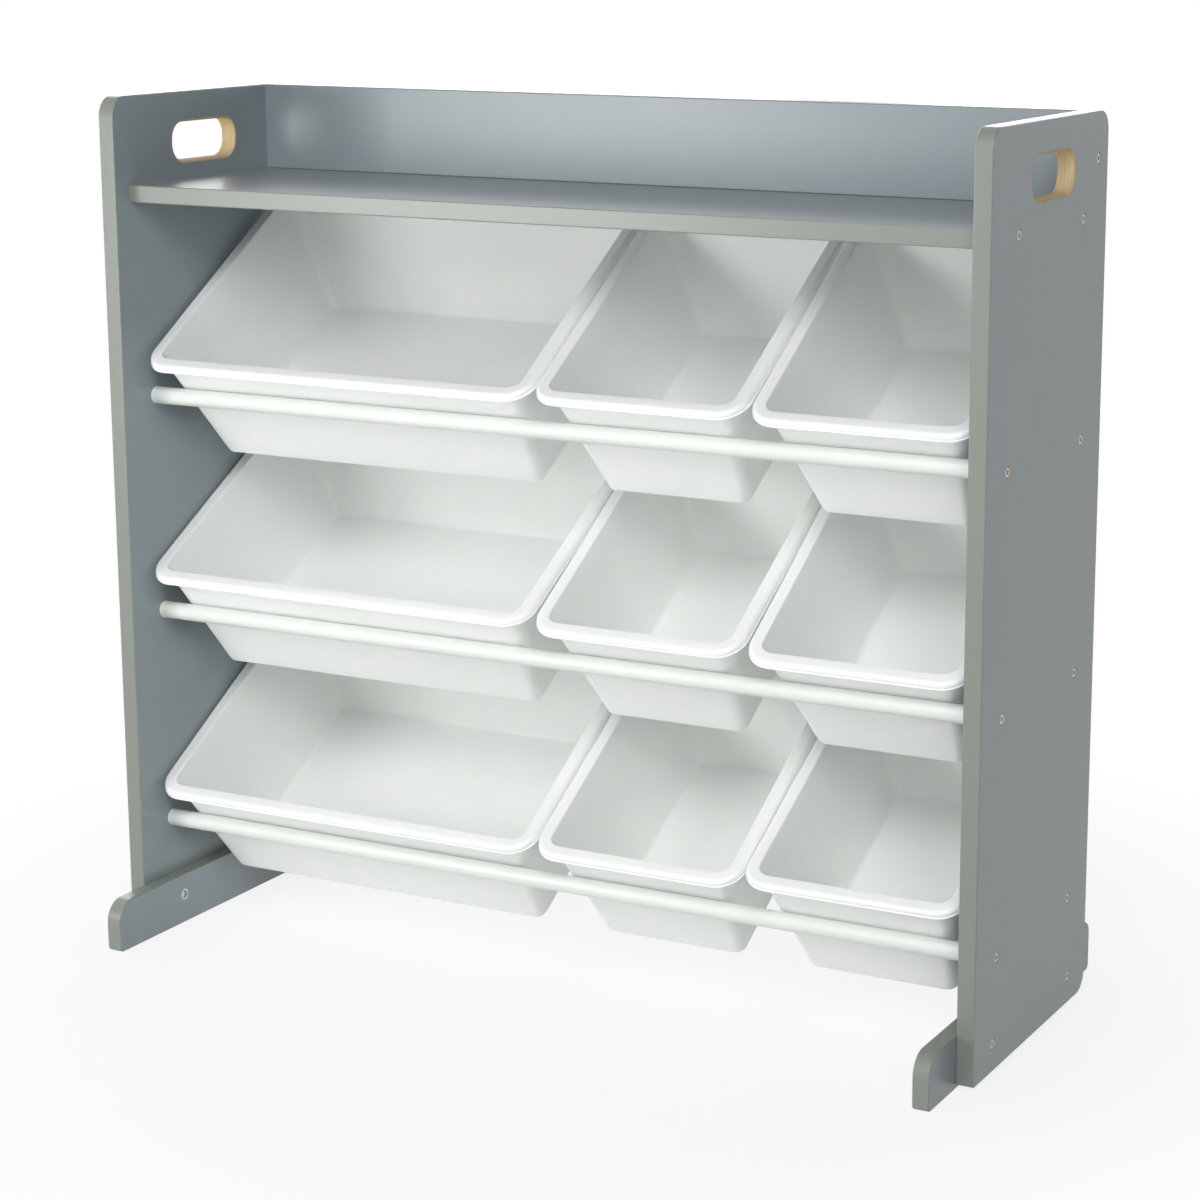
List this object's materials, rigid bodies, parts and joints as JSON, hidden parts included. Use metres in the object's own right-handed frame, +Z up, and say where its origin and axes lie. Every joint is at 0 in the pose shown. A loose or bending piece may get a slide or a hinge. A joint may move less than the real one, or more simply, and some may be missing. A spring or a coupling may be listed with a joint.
{
  "type": "toy storage organizer",
  "caption": "Boarded children's rack with a top shelf, low feet and tiers of round rods that carry open, lipped plastic bins leaning back.",
  "frame": {"origin": "on the floor under the middle of the rack, midway between the sides and midway between the front and rear ends of the feet", "axes": "+Z up, +X to the right of a person facing the bins, +Y to the back"},
  "size_m": [0.87, 0.38, 0.795],
  "materials": {
    "painted_board": "satin grey lacquer on MDF board",
    "bin_plastic": "fine satin white polypropylene",
    "rod_white_tube": "white powder coat",
    "rod_white_plastic": "smooth white plastic",
    "zinc_steel": "zinc plated",
    "peg_wood": "bare beech"
  },
  "bodies": {
    "frame": {"left_side_panel": "painted_board", "right_side_panel": "painted_board", "left_foot": "painted_board", "right_foot": "painted_board", "top_shelf": "painted_board", "back_board": "painted_board", "back_board_dowels": "peg_wood", "rod_end_plugs": "rod_white_plastic", "rod_screws": "zinc_steel", "shelf_screws": "zinc_steel", "back_board_screws": "zinc_steel", "foot_bolts": "zinc_steel", "foot_sleeve_nuts": "zinc_steel", "front_rod_bottom": "rod_white_tube", "rear_rod_bottom": "rod_white_tube", "front_rod_middle": "rod_white_tube", "rear_rod_middle": "rod_white_tube", "front_rod_top": "rod_white_tube", "rear_rod_top": "rod_white_tube"},
    "large_bottom_tub": {"bin_large_bottom": "bin_plastic"},
    "large_middle_tub": {"bin_large_middle": "bin_plastic"},
    "large_top_tub": {"bin_large_top": "bin_plastic"},
    "small_bottom_centre_tub": {"bin_small_bottom_centre": "bin_plastic"},
    "small_bottom_right_tub": {"bin_small_bottom_right": "bin_plastic"},
    "small_middle_centre_tub": {"bin_small_middle_centre": "bin_plastic"},
    "small_middle_right_tub": {"bin_small_middle_right": "bin_plastic"},
    "small_top_centre_tub": {"bin_small_top_centre": "bin_plastic"},
    "small_top_right_tub": {"bin_small_top_right": "bin_plastic"}
  },
  "joints": [
    {"name": "large_bottom_lift_out", "type": "slide", "parent": "frame", "child": "large_bottom_tub", "axis": [0, 0.8545, 0.5195], "range_m": [0, 0.36]},
    {"name": "large_middle_lift_out", "type": "slide", "parent": "frame", "child": "large_middle_tub", "axis": [0, 0.8682, 0.4962], "range_m": [0, 0.36]},
    {"name": "large_top_lift_out", "type": "slide", "parent": "frame", "child": "large_top_tub", "axis": [0, 0.8471, 0.5314], "range_m": [0, 0.36]},
    {"name": "small_bottom_centre_lift_out", "type": "slide", "parent": "frame", "child": "small_bottom_centre_tub", "axis": [0, 0.8581, 0.5135], "range_m": [0, 0.36]},
    {"name": "small_bottom_right_lift_out", "type": "slide", "parent": "frame", "child": "small_bottom_right_tub", "axis": [0, 0.8771, 0.4802], "range_m": [0, 0.36]},
    {"name": "small_middle_centre_lift_out", "type": "slide", "parent": "frame", "child": "small_middle_centre_tub", "axis": [0, 0.8522, 0.5232], "range_m": [0, 0.36]},
    {"name": "small_middle_right_lift_out", "type": "slide", "parent": "frame", "child": "small_middle_right_tub", "axis": [0, 0.8396, 0.5432], "range_m": [0, 0.36]},
    {"name": "small_top_centre_lift_out", "type": "slide", "parent": "frame", "child": "small_top_centre_tub", "axis": [0, 0.8494, 0.5277], "range_m": [0, 0.36]},
    {"name": "small_top_right_lift_out", "type": "slide", "parent": "frame", "child": "small_top_right_tub", "axis": [0, 0.8415, 0.5402], "range_m": [0, 0.36]}
  ]
}
